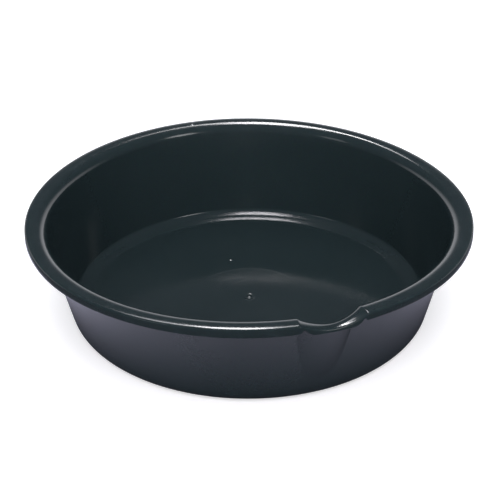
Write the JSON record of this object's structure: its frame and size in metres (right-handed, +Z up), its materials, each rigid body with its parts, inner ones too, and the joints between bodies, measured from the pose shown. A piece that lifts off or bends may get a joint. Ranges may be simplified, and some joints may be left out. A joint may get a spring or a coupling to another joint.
{
  "type": "oil drain pan",
  "caption": "Round open-top plastic drain pan with a drafted wall, a rolled rim flange with a turned-down skirt, and a pour spout pushed out through the rim.",
  "frame": {"origin": "on the resting plane, under the centre of the round floor", "axes": "+Z up out of the open top, the pour spout points along -Y, +X to the right when looking along +Y"},
  "size_m": [0.368, 0.368, 0.0898],
  "materials": {
    "black_plastic": "semi-gloss black moulded polyolefin, slightly blue-green"
  },
  "bodies": {
    "root": {"pan": "black_plastic"}
  },
  "joints": []
}
